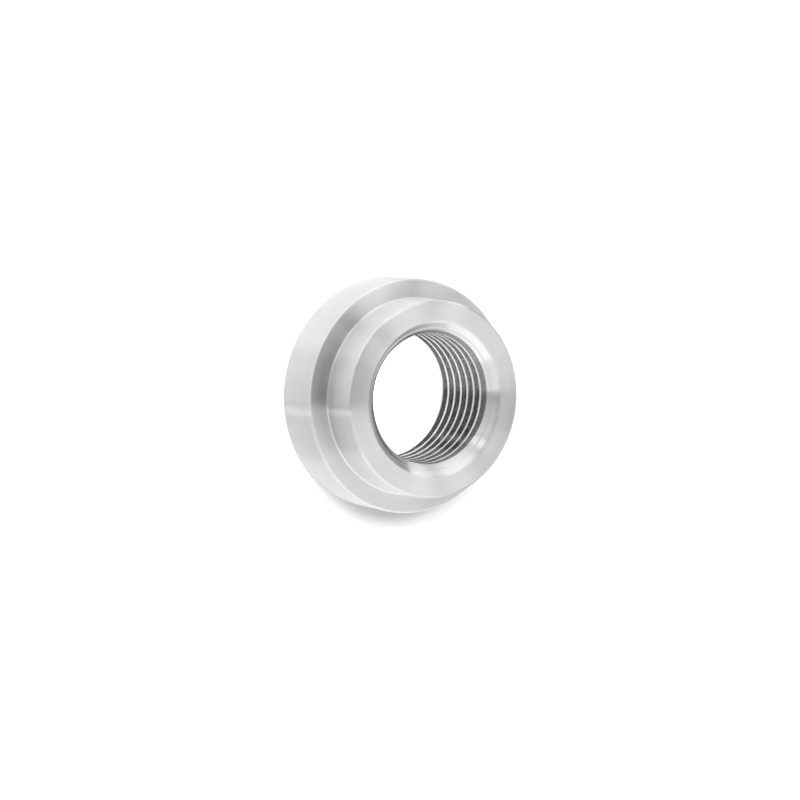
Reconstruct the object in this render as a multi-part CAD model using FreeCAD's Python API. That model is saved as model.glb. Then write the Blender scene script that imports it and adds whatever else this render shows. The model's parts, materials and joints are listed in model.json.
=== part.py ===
import FreeCAD, Part
import math
import os

# Stepped weld bung, turned from one bar, in millimetres. It stands on the back face of its flange
# with its pilot on top. The origin is the centre of that face, and the bore runs along +Z.
# The bore has the wall that the tap drill leaves. The fine helical thread in it isn't cut here.

# Thread of the sensor or plug that screws in: M18 x 1.5. The allowance is what the drilled hole
# has over the thread's basic minor diameter.
thread_diameter = 18.0
thread_pitch = 1.5
minor_diameter_allowance = 0.2

# Pilot: the narrow end that drops into the hole in the pipe. Its wall is measured from the
# thread's root to the outside.
pilot_wall = 3.5
pilot_height = 5.4
pilot_edge_radius = 0.4

# Flange: the wide end that stays outside the pipe, where its shoulder takes the weld.
shoulder_width = 2.5
flange_thickness = 7.0
flange_edge_chamfer = 0.25

# Inside corner between pilot and shoulder, as the nose of the turning tool leaves it.
shoulder_fillet = 0.2

# 45 degree countersinks at the two mouths of the bore. Each margin is how far the mouth's radius
# is outside the thread's.
front_mouth_margin = 0.75
front_mouth_edge_radius = 0.4
back_mouth_margin = 0.2

# The ways in which the lathe leaves a corner of the section.
SHARP = "sharp"
CHAMFER = "chamfer"
ROUND = "round"


def section_point(radius, height):
    """A point of the half section, which lies in the XZ plane."""
    return FreeCAD.Vector(radius, 0, height)


def ease_corner(before, corner, after, finish, size):
    """The ends of a corner's easing, and the edge that joins them where there is one."""
    if finish == SHARP:
        return corner, corner, None
    to_before = (before - corner).normalize()
    to_after = (after - corner).normalize()
    half_angle = to_before.getAngle(to_after) / 2.0
    setback = size if finish == CHAMFER else size / math.tan(half_angle)
    start = corner + to_before * setback
    end = corner + to_after * setback
    if finish == CHAMFER:
        return start, end, Part.LineSegment(start, end).toShape()
    bisector = (to_before + to_after).normalize()
    middle = corner + bisector * (size / math.sin(half_angle) - size)
    return start, end, Part.Arc(start, middle, end).toShape()


def turned_solid(corners):
    """The solid that the half section turns into, from its corners and how each is eased."""
    places = [section_point(radius, height) for radius, height, finish, size in corners]
    eased = []
    for index, (radius, height, finish, size) in enumerate(corners):
        before = places[index - 1]
        after = places[(index + 1) % len(places)]
        eased.append(ease_corner(before, places[index], after, finish, size))
    edges = []
    for index, (start, end, easing) in enumerate(eased):
        if easing is not None:
            edges.append(easing)
        next_start = eased[(index + 1) % len(eased)][0]
        edges.append(Part.LineSegment(end, next_start).toShape())
    face = Part.Face(Part.Wire(edges))
    return face.revolve(section_point(0, 0), FreeCAD.Vector(0, 0, 1), 360)


def make_weld_bung():
    """The whole bung: flange, pilot, bore and countersinks in one turned section."""
    thread_triangle_height = thread_pitch * math.sqrt(3.0) / 2.0
    minor_diameter = thread_diameter - 1.25 * thread_triangle_height
    bore_radius = (minor_diameter + minor_diameter_allowance) / 2.0
    thread_radius = thread_diameter / 2.0

    pilot_radius = thread_radius + pilot_wall
    flange_radius = pilot_radius + shoulder_width
    top = flange_thickness + pilot_height

    front_mouth_radius = thread_radius + front_mouth_margin
    front_cone_depth = front_mouth_radius - bore_radius
    back_mouth_radius = thread_radius + back_mouth_margin
    back_cone_depth = back_mouth_radius - bore_radius

    return turned_solid([
        (back_mouth_radius, 0, SHARP, 0),
        (flange_radius, 0, CHAMFER, flange_edge_chamfer),
        (flange_radius, flange_thickness, CHAMFER, flange_edge_chamfer),
        (pilot_radius, flange_thickness, ROUND, shoulder_fillet),
        (pilot_radius, top, ROUND, pilot_edge_radius),
        (front_mouth_radius, top, ROUND, front_mouth_edge_radius),
        (bore_radius, top - front_cone_depth, SHARP, 0),
        (bore_radius, back_cone_depth, SHARP, 0),
    ])


os.makedirs("parts", exist_ok=True)
weld_bung = make_weld_bung()
weld_bung.exportStep("parts/weld_bung.step")
box = weld_bung.BoundBox
print(f"weld_bung: valid {weld_bung.isValid()}, solids {len(weld_bung.Solids)}, "
      f"volume {weld_bung.Volume:.1f} mm3, box {box.XLength:.3f} x {box.YLength:.3f} x {box.ZLength:.3f} mm")
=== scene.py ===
# %% [markdown]
# # A stepped weld bung in turned stainless steel
#
# The bung is one piece, turned from a bar and tapped right through. This lesson turns its
# section on a virtual lathe, cuts the fine thread with a virtual tap, and then spends most of
# its effort on the finish, because turned metal is nothing but its reflections.

# %% Load the frame
import json
import math

import bmesh
import bpy
from mathutils import Matrix, Vector


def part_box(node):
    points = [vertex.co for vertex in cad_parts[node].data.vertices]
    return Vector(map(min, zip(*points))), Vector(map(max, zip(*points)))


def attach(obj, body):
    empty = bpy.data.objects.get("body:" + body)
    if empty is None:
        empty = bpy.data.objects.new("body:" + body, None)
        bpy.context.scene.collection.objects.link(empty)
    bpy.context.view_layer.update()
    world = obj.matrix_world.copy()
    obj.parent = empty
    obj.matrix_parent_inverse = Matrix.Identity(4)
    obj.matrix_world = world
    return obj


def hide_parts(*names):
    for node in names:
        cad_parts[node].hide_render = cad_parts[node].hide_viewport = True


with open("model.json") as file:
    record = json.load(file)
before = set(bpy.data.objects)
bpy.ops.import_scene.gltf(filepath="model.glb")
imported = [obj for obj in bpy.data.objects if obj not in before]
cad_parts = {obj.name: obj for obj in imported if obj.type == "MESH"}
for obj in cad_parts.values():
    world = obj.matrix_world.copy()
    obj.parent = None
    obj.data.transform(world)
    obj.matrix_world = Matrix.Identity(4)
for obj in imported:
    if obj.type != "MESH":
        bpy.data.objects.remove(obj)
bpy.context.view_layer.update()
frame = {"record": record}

MM = 0.001

# %% [markdown]
# ## Sizes
#
# The solid model already holds the real sizes. They could be typed in again, but then a change
# to the part would leave this lesson behind, so they are read from it: the flange from the
# node's box, and the bore, pilot and shoulder from the mounts in its record. Only what the
# solid model leaves out is new here: the M18 x 1.5 thread, how far the corners are eased, and
# the narrow ledge that the countersink's tool leaves near the inner edge of the front cone.

# %% Sizes from the solid model
NODE = "weld_bung"
mounts = {mount["name"]: mount for mount in frame["record"]["mounts"]}
lowest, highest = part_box(NODE)

flange_radius = highest[0]
top = highest[2]
shoulder_level = mounts["shoulder"]["pos_m"][2]
pilot_radius = mounts["pilot"]["dims"]["r_mm"] * MM
bore_radius = mounts["thread"]["dims"]["r_mm"] * MM
print(f"radii: flange {flange_radius / MM:.2f}, pilot {pilot_radius / MM:.2f},",
      f"bore {bore_radius / MM:.3f} mm, and {(top - lowest[2]) / MM:.2f} mm high")

# %% Sizes of the thread and the countersinks
thread_radius = 9.0 * MM
thread_pitch = 1.5 * MM
front_mouth_margin = 0.75 * MM
back_mouth_margin = 0.2 * MM

front_mouth_radius = thread_radius + front_mouth_margin
back_mouth_radius = thread_radius + back_mouth_margin
front_cone_depth = front_mouth_radius - bore_radius
back_cone_depth = back_mouth_radius - bore_radius
print(f"countersinks: {front_cone_depth / MM:.2f} mm deep in front,",
      f"{back_cone_depth / MM:.2f} mm at the back")

# %% Sizes of the ledge and the eased corners
ledge_margin = 0.06 * MM
ledge_width = 0.13 * MM
ledge_drop = 0.02 * MM
ledge_radius = thread_radius + ledge_margin
ledge_level = top - (front_mouth_radius - ledge_radius)

flange_edge_chamfer = 0.25 * MM
shoulder_fillet = 0.2 * MM
pilot_edge_radius = 0.4 * MM
front_mouth_edge_radius = 0.4 * MM
deburr = 0.04 * MM
print(f"ledge at radius {ledge_radius / MM:.2f} mm, {(top - ledge_level) / MM:.2f} mm down")

# %% [markdown]
# ## The turned blank
#
# On the lathe, the part is a half section that goes round the axis. A cylinder with other
# cylinders cut out of it would come to the same shape, but a few vertices joined by edges
# hold the whole section at once, and a full spin turns them into a closed solid.

# %% Corners of the half section
corners = {
    "back_mouth": (back_mouth_radius, 0),
    "flange_back": (flange_radius, 0),
    "flange_front": (flange_radius, shoulder_level),
    "shoulder_root": (pilot_radius, shoulder_level),
    "pilot_front": (pilot_radius, top),
    "front_mouth": (front_mouth_radius, top),
    "ledge_outside": (ledge_radius, ledge_level),
    "ledge_inside": (ledge_radius - ledge_width, ledge_level - ledge_drop),
    "front_cone_end": (bore_radius, top - front_cone_depth + ledge_width - ledge_drop),
    "back_cone_end": (bore_radius, back_cone_depth),
}
print("half section:", len(corners), "corners")

# %% Turn the half section
STEPS_PER_TURN = 256
MERGE_DISTANCE = 0.001 * MM
TAPPED = "tapped"
WORN_AND_HIGHLIT = "worn_and_highlit"


def spin_section(points, angle, steps, lift=0.0, closed=False):
    """A bmesh of a closed half section that has gone round Z, rising by lift at each step."""
    mesh = bmesh.new()
    mesh.faces.layers.float.new(TAPPED)
    mesh.faces.layers.float.new(WORN_AND_HIGHLIT)
    verts = [mesh.verts.new((radius, 0, height)) for radius, height in points]
    edges = [mesh.edges.new((verts[i - 1], verts[i])) for i in range(len(verts))]
    bmesh.ops.spin(mesh, geom=verts + edges, cent=(0, 0, 0), axis=(0, 0, 1), angle=angle,
                   steps=steps, dvec=(0, 0, lift), use_merge=closed)
    return mesh


blank = spin_section(corners.values(), 2 * math.pi, STEPS_PER_TURN, closed=True)
bmesh.ops.remove_doubles(blank, verts=blank.verts, dist=MERGE_DISTANCE)
print("turned blank:", len(blank.faces), "faces")

# %% [markdown]
# ## Eased corners
#
# No corner of a real part is quite sharp. The radii could be drawn into the section, but it is
# easier to start with sharp corners and to bevel their rings afterwards, each as the tool or
# the file left it: two segments read as a chamfer, and more of them as a radius. Each bevel
# also marks its new faces with a number from 0 to 1 for wear and painted highlight: it takes the
# grooves off, and it brightens the colour, which paints a bright line along the edge. The
# flange's rims, which are handled, and the fillet, which the tool's nose burnishes, get the
# brightest painted lines on the part.

# %% Helpers for the corners


def ring_edges(mesh, radius, height):
    """The edges that run round the axis at one radius and height."""
    def on_ring(vert):
        away = abs(vert.co.xy.length - radius) + abs(vert.co.z - height)
        return away < MERGE_DISTANCE

    return [edge for edge in mesh.edges if on_ring(edge.verts[0]) and on_ring(edge.verts[1])]


def ease(mesh, corner, offset, segments, wear_and_highlight):
    """Bevels the ring at a corner of the section, and marks the new faces for rubbing and painted
    highlight.
    """
    edges = ring_edges(mesh, *corners[corner])
    eased = bmesh.ops.bevel(mesh, geom=edges, offset=offset, offset_type="OFFSET",
                            segments=segments, profile=0.5, affect="EDGES", material=-1)
    worn_and_highlit = mesh.faces.layers.float[WORN_AND_HIGHLIT]
    for face in eased["faces"]:
        face[worn_and_highlit] = wear_and_highlight
    print(f"eased {corner}: {len(edges)} edges, {offset / MM:.2f} mm")


# %% Ease the corners
# A rounding starts at its radius times the tangent of half its turn from the corner. The front
# mouth turns by 45 degrees, and the other roundings by 90, where that tangent is 1.
front_mouth_setback = front_mouth_edge_radius * math.tan(math.radians(45 / 2))

# The last number is wear and painted highlight: it takes grooves off, and it brightens the colour,
# which paints the edge's bright line.
ease(blank, "flange_back", flange_edge_chamfer, 2, wear_and_highlight=1.0)
ease(blank, "flange_front", flange_edge_chamfer, 2, wear_and_highlight=0.9)
ease(blank, "shoulder_root", shoulder_fillet, 6, wear_and_highlight=1.0)
ease(blank, "pilot_front", pilot_edge_radius, 8, wear_and_highlight=0.2)
ease(blank, "front_mouth", front_mouth_setback, 5, wear_and_highlight=0.4)
ease(blank, "back_mouth", deburr, 2, wear_and_highlight=0.4)
bmesh.ops.recalc_face_normals(blank, faces=blank.faces)

# %% [markdown]
# ## The tap
#
# A tap cuts a helical groove with sixty-degree flanks. The Screw modifier could sweep such a
# groove, but the spin that turned the blank does it as well, with a lift at each step, and then
# blank and coil share their steps round the axis. The flare at the inner end of the groove's
# section takes the sharp edge off the crests, as the tap's own chip does. Coil and blank both
# start at +X, and the height of a crest there sets where the crests come in the photo.

# %% Section of the groove
HALF_FLANK_ANGLE = math.radians(30)
FLARE_SLOPE = 1.3
ROOT_FLAT_SHARE = 0.5
root_half_width = thread_pitch / 16
root_corner_depth = 0.06 * MM
root_corner_spread = 0.03 * MM
tap_oversize = 0.05 * MM
crest_easing = 0.07 * MM
reach_into_bore = 0.12 * MM
root_radius = thread_radius + tap_oversize


def half_width(radius):
    """Half the groove's width at a radius, along its straight flank."""
    return root_half_width + (root_radius - radius) * math.tan(HALF_FLANK_ANGLE)


easing_radius = bore_radius + crest_easing
mouth_radius = bore_radius - reach_into_bore
mouth_half_width = half_width(easing_radius) + (easing_radius - mouth_radius) * FLARE_SLOPE
groove_side = [
    (mouth_radius, mouth_half_width),
    (easing_radius, half_width(easing_radius)),
    (root_radius - root_corner_depth, root_half_width + root_corner_spread),
    (root_radius, root_half_width * ROOT_FLAT_SHARE),
]
groove = [(radius, -away) for radius, away in groove_side]
groove += [(radius, away) for radius, away in reversed(groove_side)]
print(f"groove: {(root_radius - bore_radius) / MM:.2f} mm deep, out to {root_radius / MM:.2f} mm")

# %% Coil of the groove
TURNS_BELOW = 2
crest_height_at_plus_x = 2.52 * MM
groove_height = crest_height_at_plus_x - thread_pitch / 2
turns = TURNS_BELOW + math.ceil(top / thread_pitch) + 1
start_height = groove_height - TURNS_BELOW * thread_pitch

placed_groove = [(radius, start_height + height) for radius, height in groove]
tap = spin_section(placed_groove, 2 * math.pi, STEPS_PER_TURN,
                   lift=thread_pitch / STEPS_PER_TURN)
first_turn = tap.verts[:] + tap.edges[:] + tap.faces[:]
for turn in range(1, turns):
    copied = bmesh.ops.duplicate(tap, geom=first_turn)["geom"]
    copied_verts = [item for item in copied if isinstance(item, bmesh.types.BMVert)]
    bmesh.ops.translate(tap, verts=copied_verts, vec=(0, 0, turn * thread_pitch))
bmesh.ops.remove_doubles(tap, verts=tap.verts, dist=MERGE_DISTANCE)
print("tap coil:", turns, "turns,", len(tap.faces), "faces")

# %% Close and mark the coil


def count_open_edges(mesh):
    """How many edges don't have exactly two faces."""
    return sum(not edge.is_manifold for edge in mesh.edges)


bmesh.ops.holes_fill(tap, edges=[edge for edge in tap.edges if edge.is_boundary], sides=0)
bmesh.ops.recalc_face_normals(tap, faces=tap.faces)
cut_by_tap = tap.faces.layers.float[TAPPED]
for face in tap.faces:
    face[cut_by_tap] = 1.0
print("closed coil:", len(tap.faces), "faces,", count_open_edges(tap), "open edges")

# %% [markdown]
# ## Cutting the thread
#
# Subtracting the coil from the blank gives the real thread, with its true run-out in the two
# countersinks. A bump map could only fake the grooves, and their outline against the light
# in the bore would stay straight. The Boolean modifier does the cut. Its result is read back
# as a plain mesh, so nothing stays live on the piece. Points closer than a micron are merged,
# because the two meshes share their steps round the axis and meet in slivers there.

# %% Helpers for pieces


def mesh_object(name, mesh):
    """A new object that holds a bmesh, at the origin."""
    data = bpy.data.meshes.new(name)
    mesh.to_mesh(data)
    mesh.free()
    piece = bpy.data.objects.new(name, data)
    bpy.context.scene.collection.objects.link(piece)
    return piece


def apply_modifiers(piece):
    """Bakes a piece's modifiers into its mesh."""
    depsgraph = bpy.context.evaluated_depsgraph_get()
    finished = bpy.data.meshes.new_from_object(piece.evaluated_get(depsgraph))
    piece.modifiers.clear()
    unfinished = piece.data
    piece.data = finished
    bpy.data.meshes.remove(unfinished)


# %% Cut the thread
bung = mesh_object("turned_bung", blank)
tap_piece = mesh_object("tap", tap)
cut = bung.modifiers.new("tapping", "BOOLEAN")
cut.operation = "DIFFERENCE"
cut.solver = "EXACT"
cut.object = tap_piece
apply_modifiers(bung)
bpy.data.objects.remove(tap_piece)
print("tapped bung:", len(bung.data.polygons), "faces")

# %% Clean up after the cut
cleaned = bmesh.new()
cleaned.from_mesh(bung.data)
bmesh.ops.remove_doubles(cleaned, verts=cleaned.verts, dist=MERGE_DISTANCE)
bmesh.ops.dissolve_degenerate(cleaned, edges=cleaned.edges, dist=MERGE_DISTANCE)
print("cleaned bung:", len(cleaned.faces), "faces,", count_open_edges(cleaned), "open edges")
cleaned.to_mesh(bung.data)
cleaned.free()

# %% [markdown]
# ## Smooth and sharp
#
# A turned wall is smooth all round, but its mesh is made of flat strips. More strips would hide
# them only at a great cost, so every face is shaded smooth instead, and an edge that turns by
# more than thirty degrees is marked sharp. The Weighted Normal modifier then lets the large
# faces win at a corner, so the flat front stays flat right up to its rounded edge.

# %% Normals
SHARP_ANGLE = math.radians(30)
bung.data.shade_smooth()
bung.data.set_sharp_from_angle(angle=SHARP_ANGLE)
weighting = bung.modifiers.new("weighting", "WEIGHTED_NORMAL")
weighting.mode = "FACE_AREA"
weighting.keep_sharp = True
apply_modifiers(bung)
print(f"smooth, but sharp past {math.degrees(SHARP_ANGLE):.0f} degrees")

# %% [markdown]
# ## Turned steel
#
# A lathe tool leaves grooves that run round the axis, finer than the eye can part. They make
# the metal anisotropic: a highlight is drawn out across the grooves, which gives the bow-tie
# on the front face. A picture of turned metal could be laid on the piece, but it would stretch
# on the walls and meet itself in a seam. A pattern that is worked out from the distance to the
# axis and the height closes by itself, so the whole finish is made of such patterns. These
# helpers keep the node trees short.

# %% Helpers for nodes
RISING = (0.0, 1.0)
FALLING = (1.0, 0.0)


def feed(tree, socket, value):
    """Links an input to another node's output, or sets it to a plain value."""
    if isinstance(value, bpy.types.NodeSocket):
        tree.links.new(value, socket)
    else:
        socket.default_value = value


def add_node(tree, kind, **values):
    """A new node with some inputs set or linked by name."""
    node = tree.nodes.new(kind)
    for name, value in values.items():
        feed(tree, node.inputs[name], value)
    return node


def calculate(tree, operation, *values):
    """The output of a Math node."""
    node = tree.nodes.new("ShaderNodeMath")
    node.operation = operation
    for socket, value in zip(node.inputs, values):
        feed(tree, socket, value)
    return node.outputs[0]


def remap(tree, value, old_range, new_range):
    """A value taken from one range to another, and held inside it."""
    node = add_node(tree, "ShaderNodeMapRange", Value=value)
    for name, limit in zip(("From Min", "From Max", "To Min", "To Max"), old_range + new_range):
        node.inputs[name].default_value = limit
    return node.outputs["Result"]


# %% Helpers for colours and marks
# The Mix node has sockets for every kind of data. These are the places of its colours.
FIRST_COLOUR = 6
SECOND_COLOUR = 7
MIXED_COLOUR = 2


def blend_colours(tree, amount, first, second):
    """A mix of two colours."""
    node = tree.nodes.new("ShaderNodeMix")
    node.data_type = "RGBA"
    feed(tree, node.inputs[0], amount)
    feed(tree, node.inputs[FIRST_COLOUR], first)
    feed(tree, node.inputs[SECOND_COLOUR], second)
    return node.outputs[MIXED_COLOUR]


def read_mark(tree, name):
    """The mark that the modelling steps left on each face."""
    node = tree.nodes.new("ShaderNodeAttribute")
    node.attribute_name = name
    return node.outputs["Fac"]


# %% [markdown]
# ## Marks of the tools
#
# The lathe's feed leaves lines that can just be seen, and its slow shake leaves broader bands.
# Both are rings, so a noise makes them that is fine in radius and height and hardly changes
# along the tool's path. It has a fourth dimension, so that it can change along X and along Y,
# and closes round the axis. The tap tears the flanks of the thread in short streaks, which are
# the same noise with quicker changes. Smudges from handling are alike in all directions.

# %% Helpers for the marks


def polar_place(tree):
    """The object's coordinates and the radius, in millimetres."""
    coordinates = tree.nodes.new("ShaderNodeTexCoord").outputs["Object"]
    scaled = tree.nodes.new("ShaderNodeVectorMath")
    scaled.operation = "SCALE"
    tree.links.new(coordinates, scaled.inputs[0])
    scaled.inputs["Scale"].default_value = 1 / MM
    x, y, z = add_node(tree, "ShaderNodeSeparateXYZ", Vector=scaled.outputs[0]).outputs
    across = calculate(tree, "MULTIPLY", x, x)
    along = calculate(tree, "MULTIPLY", y, y)
    radius = calculate(tree, "SQRT", calculate(tree, "ADD", across, along))
    return {"point": scaled.outputs[0], "x": x, "y": y, "z": z, "radius": radius}


def streaks(tree, place, lines_per_mm, changes_per_mm, detail):
    """Noise that is fine across the tool's path and changes more slowly along it."""
    vector = add_node(tree, "ShaderNodeCombineXYZ",
                      X=calculate(tree, "MULTIPLY", place["radius"], lines_per_mm),
                      Y=calculate(tree, "MULTIPLY", place["z"], lines_per_mm),
                      Z=calculate(tree, "MULTIPLY", place["x"], changes_per_mm))
    noise = tree.nodes.new("ShaderNodeTexNoise")
    noise.noise_dimensions = "4D"
    feed(tree, noise.inputs["Vector"], vector.outputs[0])
    feed(tree, noise.inputs["W"], calculate(tree, "MULTIPLY", place["y"], changes_per_mm))
    feed(tree, noise.inputs["Scale"], 1)
    feed(tree, noise.inputs["Detail"], detail)
    return noise.outputs[0]


def spots(tree, place, spots_per_mm, detail):
    """Noise that is the same in all directions."""
    noise = add_node(tree, "ShaderNodeTexNoise", Vector=place["point"], Scale=spots_per_mm,
                     Detail=detail)
    return noise.outputs[0]


# %% The marks themselves
BANDS = {"lines_per_mm": 1.1, "changes_per_mm": 0.06, "detail": 2}
FEED_LINES = {"lines_per_mm": 6.5, "changes_per_mm": 0.06, "detail": 1}
SMUDGES = {"spots_per_mm": 0.35, "detail": 3}
TEARS = {"lines_per_mm": 4.5, "changes_per_mm": 2.5, "detail": 3}


def tool_marks(tree, place):
    """What the lathe, the hands and the tap left on the metal."""
    return {
        "bands": streaks(tree, place, **BANDS),
        "feed_lines": streaks(tree, place, **FEED_LINES),
        "smudges": spots(tree, place, **SMUDGES),
        "tears": streaks(tree, place, **TEARS),
    }


print("feed lines:", FEED_LINES["lines_per_mm"], "a millimetre, tears:", TEARS["lines_per_mm"])

# %% [markdown]
# ## Where each finish lies
#
# The faces are finer than the walls, because they got a last light cut. The countersinks are
# burnished, the countersinks, corners and crests are brighter, partly by a painted highlight, and
# the flanks of the thread are torn and dull, with painted shade on them.
# Each area could have a material of its own, but then their borders would be hard lines along
# the mesh. One material that knows where it is fades from one to the next. It reads the marks
# from the modelling steps, the radius in millimetres, and how level the surface lies: 0 is a
# wall, 1 is a face, and a 45 degree cone is at 0.71.

# %% Areas of the finish
FLANKS_BEGIN = (8.29, 8.33)
CRESTS_END = (8.30, 8.34)
COUNTERSINKS_END = (9.9, 10.1)
WALL_TO_FACE = (0.3, 0.65)
WALL_TO_CONE = (0.60, 0.66)
CONE_TO_FACE = (0.76, 0.82)


def finish_areas(tree, place):
    """How much each point belongs to each area, from 0 to 1."""
    radius = place["radius"]
    flank = calculate(tree, "MULTIPLY", read_mark(tree, TAPPED),
                      remap(tree, radius, FLANKS_BEGIN, RISING))
    turned = calculate(tree, "SUBTRACT", 1.0, flank)

    normal = tree.nodes.new("ShaderNodeTexCoord").outputs["Normal"]
    normal_z = add_node(tree, "ShaderNodeSeparateXYZ", Vector=normal).outputs["Z"]
    level = calculate(tree, "ABSOLUTE", normal_z)
    countersunk = calculate(tree, "MULTIPLY", remap(tree, level, WALL_TO_CONE, RISING),
                            remap(tree, level, CONE_TO_FACE, FALLING))
    countersunk = calculate(tree, "MULTIPLY", countersunk, turned)
    countersunk = calculate(tree, "MULTIPLY", countersunk,
                            remap(tree, radius, COUNTERSINKS_END, FALLING))
    return {
        "worn_and_highlit": read_mark(tree, WORN_AND_HIGHLIT),
        "crest": remap(tree, radius, CRESTS_END, FALLING),
        "flank": flank,
        "turned": turned,
        "faced": remap(tree, level, WALL_TO_FACE, RISING),
        "countersunk": countersunk,
    }


print(f"flanks begin {FLANKS_BEGIN[0] - bore_radius / MM:.3f} mm outside the drilled bore")

# %% [markdown]
# ## Colour of the metal
#
# Clean stainless steel is a pale, nearly neutral grey. The lines in it are a little darker, and
# corners, crests and countersinks a little brighter: some burnish, and a painted highlight that
# draws the bright lines along them.
# The flanks are far darker, partly because torn metal is dull and cutting oil stays in it, and
# partly by painted shade of the deep grooves. They get lighter near the front mouth, by a cleaner
# cut and by painted light where more light reaches. One grey with more light on it would look
# flatter, because these differences stay under every light.

# %% Colours of the lathe's work, and a painted highlight
STEEL = (0.72, 0.72, 0.725, 1)
STEEL_SHADE = (0.685, 0.683, 0.69, 1)
# Brighter colour for rubbed corners, crests and countersinks: a little of it is burnish, the rest
# a painted highlight.
STEEL_POLISH_AND_HIGHLIGHT = (0.83, 0.83, 0.835, 1)
FEED_LINE_SHARE = 0.6
BAND_SHARE = 0.4
LINE_CONTRAST = (0.4, 0.65)
COUNTERSINK_POLISH_AND_HIGHLIGHT = 0.6


def lathe_and_highlight_colour(tree, marks, areas):
    """Steel with faint rings, brighter on corners, crests and countersinks: burnish and a painted
    highlight.
    """
    lines = calculate(tree, "MULTIPLY_ADD", marks["feed_lines"], FEED_LINE_SHARE,
                      calculate(tree, "MULTIPLY", marks["bands"], BAND_SHARE))
    colour = blend_colours(tree, remap(tree, lines, LINE_CONTRAST, RISING), STEEL, STEEL_SHADE)
    # Painted highlight: corners, crests and countersinks take the brighter colour, which paints
    # their bright lines.
    polish_and_highlight = calculate(tree, "MAXIMUM", areas["worn_and_highlit"], areas["crest"])
    burnish_and_highlight = calculate(tree, "MULTIPLY", areas["countersunk"], COUNTERSINK_POLISH_AND_HIGHLIGHT)
    polish_and_highlight = calculate(tree, "MAXIMUM", polish_and_highlight, burnish_and_highlight)
    return blend_colours(tree, polish_and_highlight, colour, STEEL_POLISH_AND_HIGHLIGHT)


print("steel:", STEEL[:3])

# %% Colours of the tap's work, with painted shade and light
# The flank colours are dull, oily metal and painted shade of the deep grooves; the one near the
# mouth is a cleaner cut and painted light.
FLANK_DULL_AND_SHADED = (0.30, 0.297, 0.29, 1)
FLANK_SHADE = (0.15, 0.148, 0.144, 1)
FLANK_LIT_NEAR_MOUTH = (0.45, 0.447, 0.44, 1)
TEAR_CONTRAST = (0.38, 0.62)
HEIGHTS_NEAR_MOUTH = (9.0, 11.2)
CLEANER_AND_LIT_NEAR_MOUTH = (0.0, 0.5)


def flank_colour_and_shade(tree, place, marks):
    """Torn, oily metal with painted shade, lighter towards the front mouth by a cleaner cut and
    painted light.
    """
    tears = remap(tree, marks["tears"], TEAR_CONTRAST, RISING)
    dull_and_shaded = blend_colours(tree, tears, FLANK_DULL_AND_SHADED, FLANK_SHADE)
    # Painted light: lighter towards the front mouth, where more light reaches and the cut is
    # cleaner.
    cleaned = remap(tree, place["z"], HEIGHTS_NEAR_MOUTH, CLEANER_AND_LIT_NEAR_MOUTH)
    return blend_colours(tree, cleaned, dull_and_shaded, FLANK_LIT_NEAR_MOUTH)


print("flanks:", FLANK_SHADE[:3], "to", FLANK_DULL_AND_SHADED[:3])

# %% [markdown]
# ## Roughness and relief
#
# Roughness decides how sharply the studio shows in the metal. A faced surface is a little finer
# than a turned wall, and bands and smudges change it by a few hundredths, as a breath on glass
# would. The relief is far under what a mesh could hold: a bump of a micron from the feed lines,
# and twice that from the tears. Anything deeper sparkles instead of looking like metal.

# %% Roughness
SATIN_ROUGHNESS = 0.40
TURNED_ROUGHNESS = 0.305
FACED_ROUGHNESS = 0.292
COUNTERSUNK_ROUGHNESS = 0.31
BAND_CONTRAST = (0.3, 0.7)
BAND_CHANGE = (-0.012, 0.012)
SMUDGE_CONTRAST = (0.4, 0.75)
SMUDGE_CHANGE = (0.0, 0.03)
FLANK_CHANGE = -0.06


def roughness_change(tree, marks, areas):
    """What bands, facing, smudges and tapping add to a shader's own roughness."""
    change = remap(tree, marks["bands"], BAND_CONTRAST, BAND_CHANGE)
    change = calculate(tree, "MULTIPLY_ADD", areas["faced"], FACED_ROUGHNESS - TURNED_ROUGHNESS,
                       change)
    smudged = remap(tree, marks["smudges"], SMUDGE_CONTRAST, SMUDGE_CHANGE)
    change = calculate(tree, "ADD", change, smudged)
    return calculate(tree, "MULTIPLY_ADD", areas["flank"], FLANK_CHANGE, change)


print("roughness: walls", TURNED_ROUGHNESS, "and faces", FACED_ROUGHNESS)

# %% Relief
RELIEF_HEIGHT = 0.001 * MM
TEAR_HEIGHT = 2.0


def fine_relief(tree, marks, areas):
    """The normal of a surface with feed lines where it is turned, and tears on the flanks."""
    relief = add_node(tree, "ShaderNodeBump", Strength=1.0, Distance=RELIEF_HEIGHT)
    lines = calculate(tree, "MULTIPLY", marks["feed_lines"], areas["turned"])
    tears = calculate(tree, "MULTIPLY", marks["tears"],
                      calculate(tree, "MULTIPLY", areas["flank"], TEAR_HEIGHT))
    feed(tree, relief.inputs["Height"], calculate(tree, "ADD", lines, tears))
    return relief.outputs[0]


print(f"relief: {RELIEF_HEIGHT / MM:.3f} mm")

# %% [markdown]
# ## Two shaders in one metal
#
# Real turned steel has two parts to its shine: the grooves, which draw a highlight out across
# them, and the satin metal between and under them. One anisotropic shader gives either too
# sharp a fan on the faces or none, so two are mixed. A radial tangent tells both which way the
# grooves run. Worn corners have lost most of the grooves, and flanks and countersinks have
# none, so there the satin one is left.

# %% The two shaders
GROOVE_ANISOTROPY = 0.80
QUARTER_TURN = 0.25


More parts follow.
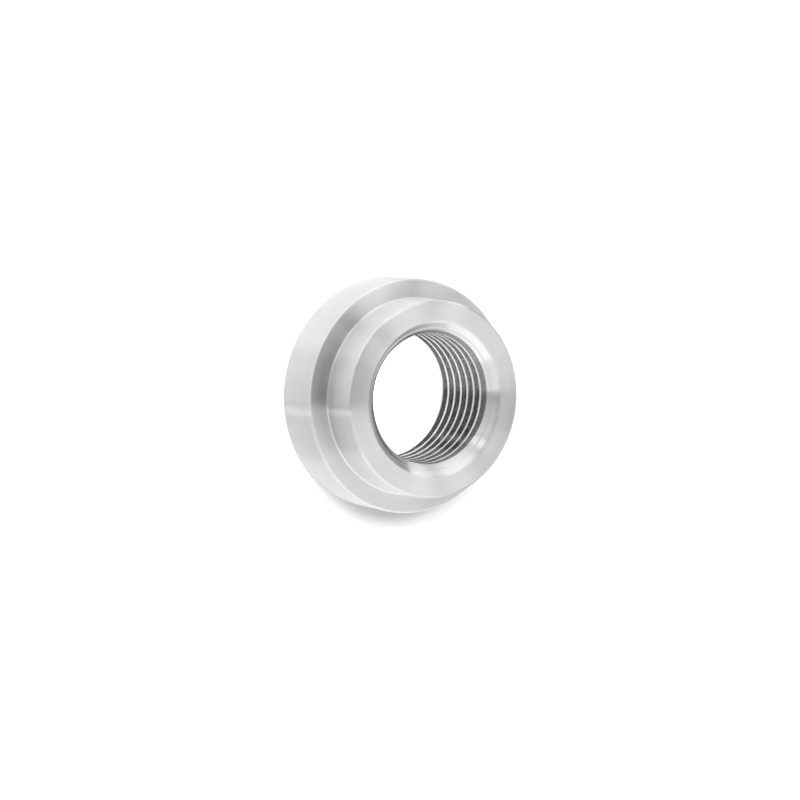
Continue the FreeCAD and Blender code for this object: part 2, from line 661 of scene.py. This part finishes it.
def satin_metal(tree, colour, change, countersunk, tangent, relief):
    """The metal under the grooves."""
    satin = tree.nodes["Principled BSDF"]
    roughness = calculate(tree, "ADD", change, SATIN_ROUGHNESS)
    roughness = calculate(tree, "MULTIPLY_ADD", countersunk,
                          COUNTERSUNK_ROUGHNESS - SATIN_ROUGHNESS, roughness)
    feed(tree, satin.inputs["Base Color"], colour)
    feed(tree, satin.inputs["Roughness"], roughness)
    feed(tree, satin.inputs["Tangent"], tangent)
    feed(tree, satin.inputs["Normal"], relief)
    satin.inputs["Metallic"].default_value = 1.0
    satin.inputs["Anisotropic"].default_value = 1.0
    satin.inputs["Anisotropic Rotation"].default_value = QUARTER_TURN
    return satin.outputs[0]


def grooved_metal(tree, colour, change, tangent, relief):
    """The metal in the grooves."""
    roughness = calculate(tree, "ADD", change, TURNED_ROUGHNESS)
    grooved = add_node(tree, "ShaderNodeBsdfAnisotropic", Color=colour, Tangent=tangent,
                       Roughness=roughness, Normal=relief, Anisotropy=GROOVE_ANISOTROPY)
    grooved.distribution = "MULTI_GGX"
    return grooved.outputs[0]


print("anisotropy of the grooves:", GROOVE_ANISOTROPY)

# %% How much of the grooves is left
GROOVE_SHARE = 0.85
WORN_OFF = 0.6


def groove_share(tree, areas):
    """The share of the grooved shader, less on rubbed corners and where tap or countersink took
    the grooves.
    """
    left = calculate(tree, "MULTIPLY_ADD", areas["worn_and_highlit"], -WORN_OFF, areas["turned"])
    left = calculate(tree, "SUBTRACT", left, areas["countersunk"])
    left = calculate(tree, "MAXIMUM", left, 0.0)
    return calculate(tree, "MULTIPLY", left, GROOVE_SHARE)


print(f"grooves: {GROOVE_SHARE:.0%} of the shine, and {WORN_OFF:.0%} less on worn corners")

# %% The material


def make_turned_steel():
    """Bright stainless steel with turning lines round Z, rubbed corners with a painted highlight,
    and tapped flanks with painted shade.
    """
    material = bpy.data.materials.new("turned_steel")
    material.use_nodes = True
    tree = material.node_tree
    place = polar_place(tree)
    marks = tool_marks(tree, place)
    areas = finish_areas(tree, place)

    colour = blend_colours(tree, areas["flank"], lathe_and_highlight_colour(tree, marks, areas),
                           flank_colour_and_shade(tree, place, marks))
    change = roughness_change(tree, marks, areas)
    relief = fine_relief(tree, marks, areas)
    along_grooves = tree.nodes.new("ShaderNodeTangent")
    along_grooves.direction_type = "RADIAL"
    along_grooves.axis = "Z"
    tangent = along_grooves.outputs[0]

    finish = add_node(tree, "ShaderNodeMixShader", Fac=groove_share(tree, areas))
    satin = satin_metal(tree, colour, change, areas["countersunk"], tangent, relief)
    tree.links.new(satin, finish.inputs[1])
    tree.links.new(grooved_metal(tree, colour, change, tangent, relief), finish.inputs[2])
    tree.links.new(finish.outputs[0], tree.nodes["Material Output"].inputs["Surface"])
    return material


turned_steel = make_turned_steel()
bung.data.materials.clear()
bung.data.materials.append(turned_steel)
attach(bung, "root")
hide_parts(NODE)
print("turned steel:", len(turned_steel.node_tree.nodes), "nodes")

# %% [markdown]
# ## Floor
#
# The bung lies on a plain pale floor. Lit by the lamp alone, the shadow would be too dark for the
# photo, so the lamp lights the floor to about three quarters of white. The rest is a glow that
# only a direct look, a mirror image or a look through glass can see. The bore needs more of that
# glow than the open floor, because its walls keep the lamp off the spot under it. A white
# backdrop card laid under the bung would do the same.

# %% Material of the floor
FLOOR_COLOUR = (0.9, 0.9, 0.9, 1)
SEEN_BOOST = 0.3
BORE_BOOST = 0.7
EDGE_OF_BORE = (8.6, 9.4)


def make_pale_floor():
    """Matt white that glows a little for rays that look at it."""
    material = bpy.data.materials.new("pale_floor")
    material.use_nodes = True
    tree = material.node_tree
    tree.nodes.clear()

    rays = tree.nodes.new("ShaderNodeLightPath")
    seen = calculate(tree, "MAXIMUM", rays.outputs["Is Camera Ray"], rays.outputs["Is Glossy Ray"])
    seen = calculate(tree, "MAXIMUM", seen, rays.outputs["Is Transmission Ray"])
    under_bore = remap(tree, polar_place(tree)["radius"], EDGE_OF_BORE, FALLING)
    boost = calculate(tree, "MULTIPLY_ADD", under_bore, BORE_BOOST, SEEN_BOOST)

    matt = add_node(tree, "ShaderNodeBsdfDiffuse", Color=FLOOR_COLOUR)
    glow = add_node(tree, "ShaderNodeEmission", Strength=calculate(tree, "MULTIPLY", seen, boost))
    both = tree.nodes.new("ShaderNodeAddShader")
    surface = tree.nodes.new("ShaderNodeOutputMaterial").inputs["Surface"]
    tree.links.new(matt.outputs[0], both.inputs[0])
    tree.links.new(glow.outputs[0], both.inputs[1])
    tree.links.new(both.outputs[0], surface)
    return material


print("floor glow:", SEEN_BOOST, "in the open,", SEEN_BOOST + BORE_BOOST, "under the bore")

# %% Floor
FLOOR_RADIUS = 2.0
FLOOR_SEGMENTS = 128
floor_mesh = bmesh.new()
bmesh.ops.create_circle(floor_mesh, cap_ends=True, segments=FLOOR_SEGMENTS, radius=FLOOR_RADIUS)
floor = mesh_object("floor", floor_mesh)
floor.data.materials.append(make_pale_floor())
print("floor:", 2 * FLOOR_RADIUS, "metres across")

# %% [markdown]
# ## The floor's own lamp
#
# The shadow in the photo lies under the bung's lower edge, narrow and soft. One wide, distant
# lamp, tilted a little from straight above, throws it there. The lamp is hidden from shiny
# surfaces, so the steel mirrors only the studio, and the two can be set apart from each other.

# %% Floor light
FLOOR_LIGHT_POWER = 2.9
FLOOR_LIGHT_WIDTH = math.radians(22)
FLOOR_LIGHT_TILT = math.radians(-25)
FLOOR_LIGHT_TURN = math.radians(50)

floor_light_data = bpy.data.lights.new("floor_light", "SUN")
floor_light_data.energy = FLOOR_LIGHT_POWER
floor_light_data.angle = FLOOR_LIGHT_WIDTH
floor_light = bpy.data.objects.new("floor_light", floor_light_data)
bpy.context.scene.collection.objects.link(floor_light)
floor_light.rotation_euler = (FLOOR_LIGHT_TILT, 0, FLOOR_LIGHT_TURN)
floor_light.visible_glossy = False
print("floor light:", FLOOR_LIGHT_POWER, "watts on a square metre")

# %% [markdown]
# ## The studio in the steel
#
# Polished or turned steel has next to no look of its own: every band and sector on it is a soft
# light or the gap between two. Here the lights are rectangles in the sky, each with its span in
# azimuth and elevation, and the sky's shader adds them up. Lamps could do it too, but a sky
# has no distance, so a band stays where it belongs on the metal, and its edges can be as crisp
# as the photo's. A light at azimuth A shows on a wall whose normal points to A / 2 + 90 degrees,
# which tells where to look for it.
#
# Sixteen lights are hard to read off a picture by eye. So the bung was rendered under one small
# patch of sky at a time, and a least-squares search picked the rectangles and strengths whose
# sum came nearest to the brightness of the metal in the photo. Some were then changed.
# They give its bands and sectors, but the real studio may well have had other lights.
#
# The lights are named after their height and the side of the picture that they stand at. Azimuth
# 0 is the picture's right, 90 its top, 180 its left, where the camera is, and 270 its bottom.
# The sky lights what mirrors it and leaves the floor to its lamp.

# %% Soft lights
HORIZON = (0, 12)
LOW = (12, 42)
MIDDLE = (26, 42)
HIGH = (42, 60)
OVERHEAD = (60, 78)
MIDDLE_TO_OVERHEAD = (26, 78)

SOFT_LIGHTS = [
    ("main, left round the bottom to the right", (205, 405), MIDDLE_TO_OVERHEAD, 0.91),
    ("horizon, right over the top to the left", (45, 196), HORIZON, 2.87),
    ("horizon, top to left", (75, 180), HORIZON, 1.20),
    ("horizon spot, top left", (110, 130), HORIZON, 2.29),
    ("horizon spot, left of that", (138, 156), HORIZON, 2.54),
    ("high, top", (55, 100), HIGH, 2.74),
    ("low, bottom", (240, 325), LOW, 1.14),
    ("horizon, bottom", (242, 300), HORIZON, 1.23),
    ("middle strip, top left", (126, 136), MIDDLE, 2.67),
    ("middle, left", (145, 190), MIDDLE, 0.72),
    ("middle, bottom left", (195, 240), MIDDLE, 0.78),
    ("middle strip, right", (345, 355), MIDDLE, 1.74),
    ("low strip, top right", (45, 55), LOW, 1.13),
    ("middle, top", (55, 85), MIDDLE, 0.32),
    ("overhead, right", (335, 375), OVERHEAD, 0.55),
    ("horizon slit, left", (201, 206), HORIZON, 4.00),
]
for name, azimuths, elevations, strength in SOFT_LIGHTS:
    print(f"{name}: azimuth {azimuths}, elevation {elevations}, strength {strength}")

# %% Helper for the soft lights
EDGE_SOFTNESS = 1.0
HALF_CIRCLE = 180.0


def window(tree, angle, limits):
    """One where an angle in degrees is between its limits, with a soft edge."""
    middle = (limits[0] + limits[1]) / 2
    half = (limits[1] - limits[0]) / 2
    away = calculate(tree, "WRAP", calculate(tree, "SUBTRACT", angle, middle), HALF_CIRCLE,
                     -HALF_CIRCLE)
    away = calculate(tree, "ABSOLUTE", away)
    return remap(tree, away, (half - EDGE_SOFTNESS, half + EDGE_SOFTNESS), FALLING)


# %% World
FILL = 0.163

world = bpy.data.worlds.new("studio")
bpy.context.scene.world = world
world.use_nodes = True
sky = world.node_tree
direction = sky.nodes.new("ShaderNodeTexCoord").outputs["Generated"]
sky_x, sky_y, sky_z = add_node(sky, "ShaderNodeSeparateXYZ", Vector=direction).outputs
azimuth = calculate(sky, "DEGREES", calculate(sky, "ARCTAN2", sky_y, sky_x))
elevation = calculate(sky, "DEGREES", calculate(sky, "ARCSINE", sky_z))
brightness = FILL
for name, azimuths, elevations, strength in SOFT_LIGHTS:
    inside = calculate(sky, "MULTIPLY", window(sky, azimuth, azimuths),
                       window(sky, elevation, elevations))
    brightness = calculate(sky, "MULTIPLY_ADD", inside, strength, brightness)
background = sky.nodes["Background"]
feed(sky, background.inputs["Strength"], brightness)
background.inputs["Color"].default_value = (1, 1, 1, 1)
world.cycles_visibility.diffuse = False
print("soft lights:", len(SOFT_LIGHTS), "over a fill of", FILL)

# %% [markdown]
# ## Camera
#
# A long lens, as for any small product. The angles and the distance come from the outlines of
# the bung's circles in the photo. The photo has the bung standing on its rim, so the camera that
# looks down on the lying bung is also rolled by a little more than a quarter turn.

# %% Camera
LENS = 100
SENSOR = 36
camera_elevation = math.radians(57.87)
camera_roll = math.radians(98.45)
camera_distance = 290.46 * MM
aim = Vector((2.58, -0.70, 0)) * MM

camera_data = bpy.data.cameras.new("camera")
camera_data.lens = LENS
camera_data.sensor_width = SENSOR
camera = bpy.data.objects.new("camera", camera_data)
bpy.context.scene.collection.objects.link(camera)
bpy.context.scene.camera = camera
print("lens:", LENS, "mm on a sensor of", SENSOR, "mm")

# %% Place the camera
towards_camera = Vector((-math.cos(camera_elevation), 0, math.sin(camera_elevation)))
level_right = Vector((0, -1, 0))
level_up = towards_camera.cross(level_right)
right = math.cos(camera_roll) * level_right + math.sin(camera_roll) * level_up
up = towards_camera.cross(right)
turned = Matrix((right, up, towards_camera)).transposed()
camera.matrix_world = Matrix.Translation(aim + camera_distance * towards_camera) @ turned.to_4x4()
print("camera at", [round(value / MM, 1) for value in camera.matrix_world.translation], "mm")

# %% [markdown]
# ## Colours as they are written
#
# The Standard view transform shows a colour as it is, with no film curve over it. A curve
# would grey the white floor and flatten the metal, which is all light greys.

# %% View transform
bpy.context.scene.view_settings.view_transform = "Standard"
print("view transform:", bpy.context.scene.view_settings.view_transform)
